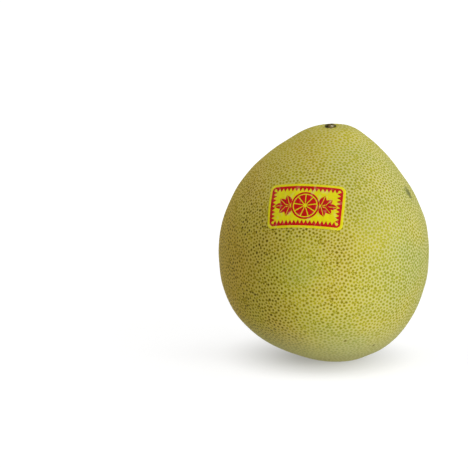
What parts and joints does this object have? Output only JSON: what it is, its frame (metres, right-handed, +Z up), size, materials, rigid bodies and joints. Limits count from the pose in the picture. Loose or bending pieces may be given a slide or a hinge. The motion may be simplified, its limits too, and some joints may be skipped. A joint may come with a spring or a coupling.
{
  "type": "pomelo",
  "caption": "Whole ripe pomelo, a pear-shaped citrus fruit with pitted yellow-green peel, its woody calyx and stalk stub on the crown and a paper label on its shoulder.",
  "frame": {"origin": "on the surface that the fruit stands on, under the middle of its outline", "axes": "+Z up from the blossom end to the stalk end; -Y to the side that carries the label"},
  "size_m": [0.1363, 0.1336, 0.1537],
  "materials": {
    "peel": "waxy citrus peel, yellow-green, with small darker oil glands sunk in a paler net",
    "dried_calyx": "dried grey-brown bark, matt",
    "stalk_wood": "pale broken stalk wood, matt",
    "label_paper": "coated yellow label paper with a plain red print, slightly glossy"
  },
  "bodies": {
    "root": {"fruit": "peel", "calyx": "dried_calyx", "stalk_stub": "stalk_wood", "label": "label_paper"}
  },
  "joints": []
}
